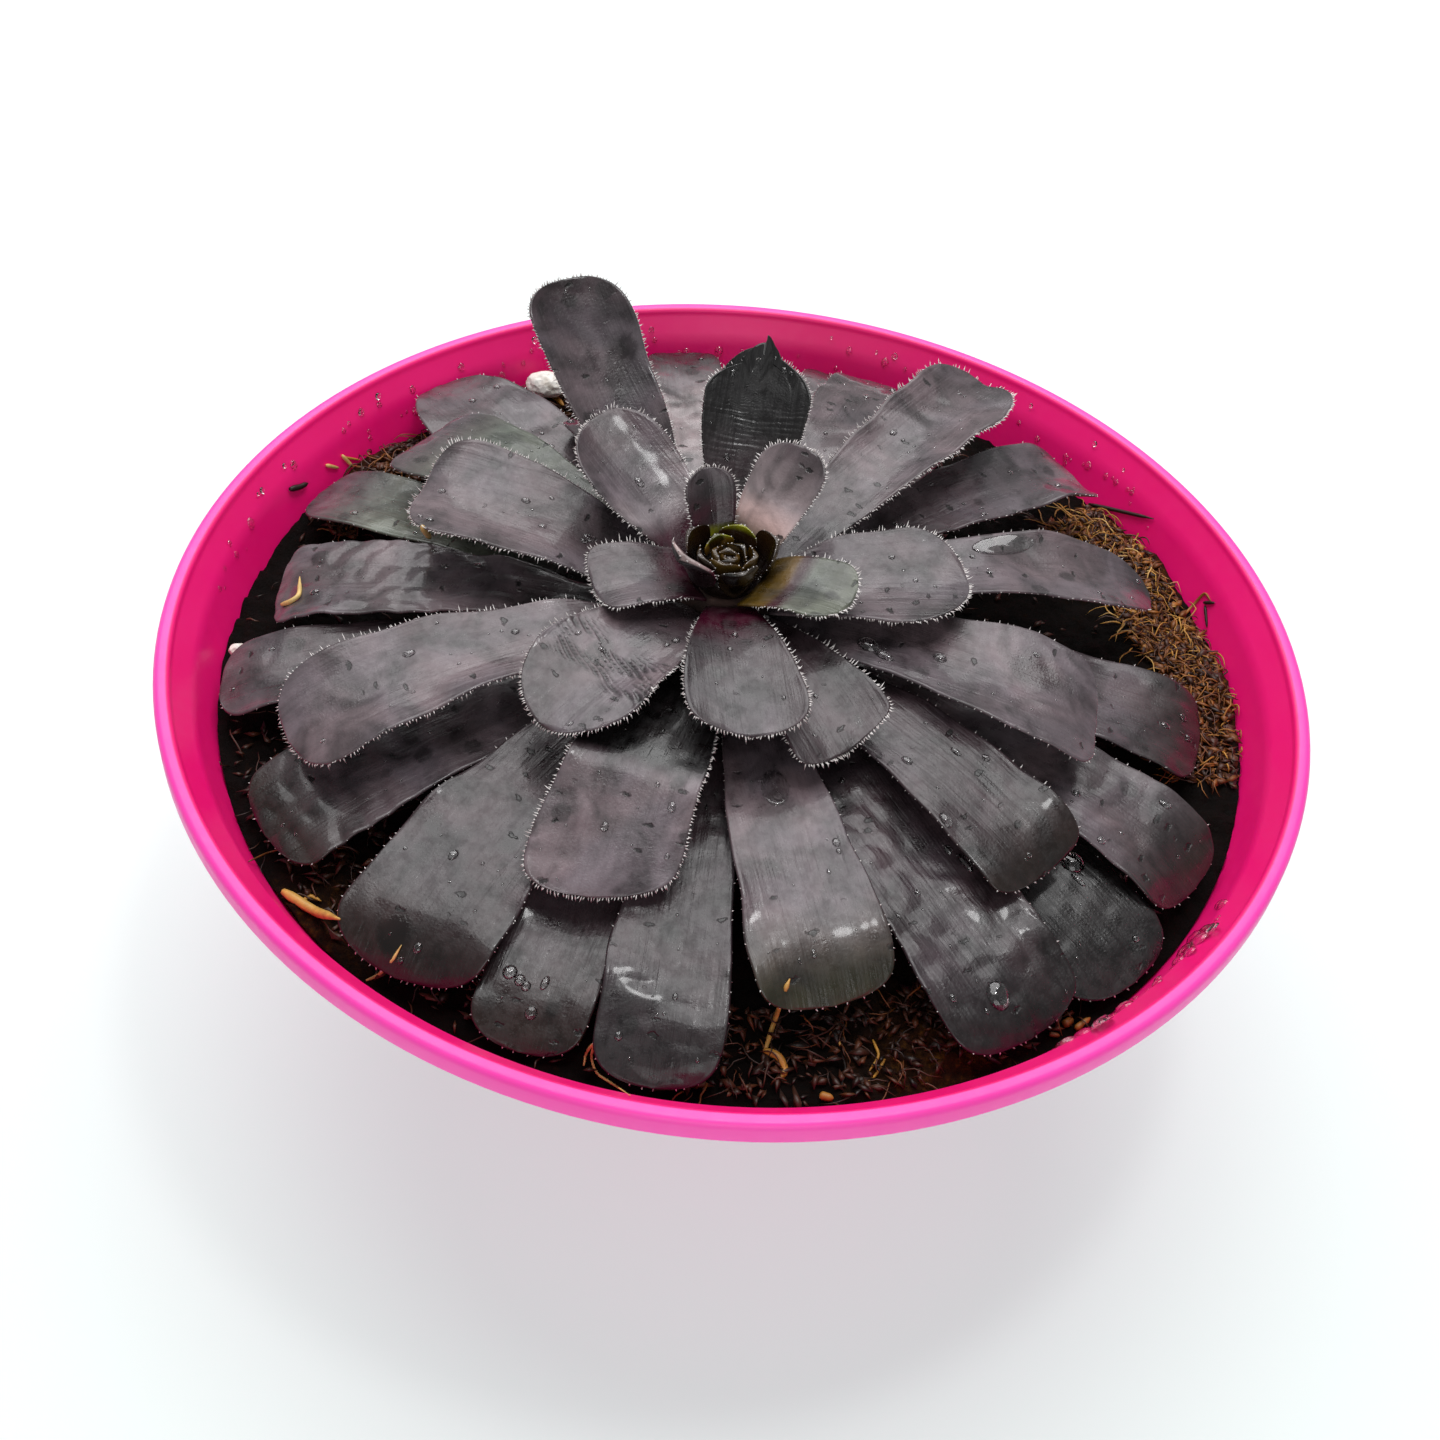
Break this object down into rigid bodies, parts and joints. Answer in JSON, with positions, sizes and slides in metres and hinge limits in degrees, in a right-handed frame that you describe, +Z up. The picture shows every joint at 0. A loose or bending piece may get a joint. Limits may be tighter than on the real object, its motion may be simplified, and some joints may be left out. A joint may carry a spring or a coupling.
{
  "type": "potted aeonium",
  "caption": "Low rosette of dark spoon-shaped succulent leaves with fringed margins on a short stem, growing in peat in a shallow pink plastic bowl pot.",
  "frame": {"origin": "centre of the pot's foot, on the surface it stands on", "axes": "+Z up through the middle of the pot; -Y is the front, the side seen in the picture"},
  "size_m": [0.16, 0.16, 0.0934],
  "materials": {
    "pot_plastic": "smooth, slightly glossy",
    "peat": "rough, damp, with fibres",
    "stem": "rough",
    "bud": "smooth, damp",
    "leaf": "waxy, wet",
    "stone": "matt, grainy"
  },
  "bodies": {
    "root": {"pot": "pot_plastic", "soil": "peat", "stem": "stem", "crown": "bud", "leaf_outer_01": "leaf", "leaf_outer_02": "leaf", "leaf_outer_03": "leaf", "leaf_outer_04": "leaf", "leaf_outer_05": "leaf", "leaf_outer_06": "leaf", "leaf_outer_07": "leaf", "leaf_outer_08": "leaf", "leaf_outer_09": "leaf", "leaf_outer_10": "leaf", "leaf_outer_11": "leaf", "leaf_outer_12": "leaf", "leaf_outer_13": "leaf", "leaf_outer_14": "leaf", "leaf_outer_15": "leaf", "leaf_outer_16": "leaf", "leaf_outer_17": "leaf", "leaf_outer_18": "leaf", "leaf_outer_19": "leaf", "leaf_outer_20": "leaf", "leaf_outer_21": "leaf", "leaf_middle_01": "leaf", "leaf_middle_02": "leaf", "leaf_middle_03": "leaf", "leaf_middle_04": "leaf", "leaf_middle_05": "leaf", "leaf_middle_06": "leaf", "leaf_middle_07": "leaf", "leaf_middle_08": "leaf", "leaf_middle_09": "leaf", "leaf_middle_10": "leaf", "leaf_middle_11": "leaf", "leaf_inner_01": "leaf", "leaf_inner_02": "leaf", "leaf_inner_03": "leaf", "leaf_inner_04": "leaf", "leaf_inner_05": "leaf", "leaf_inner_06": "leaf", "leaf_inner_07": "leaf", "stone_1": "stone", "stone_2": "stone"}
  },
  "joints": []
}
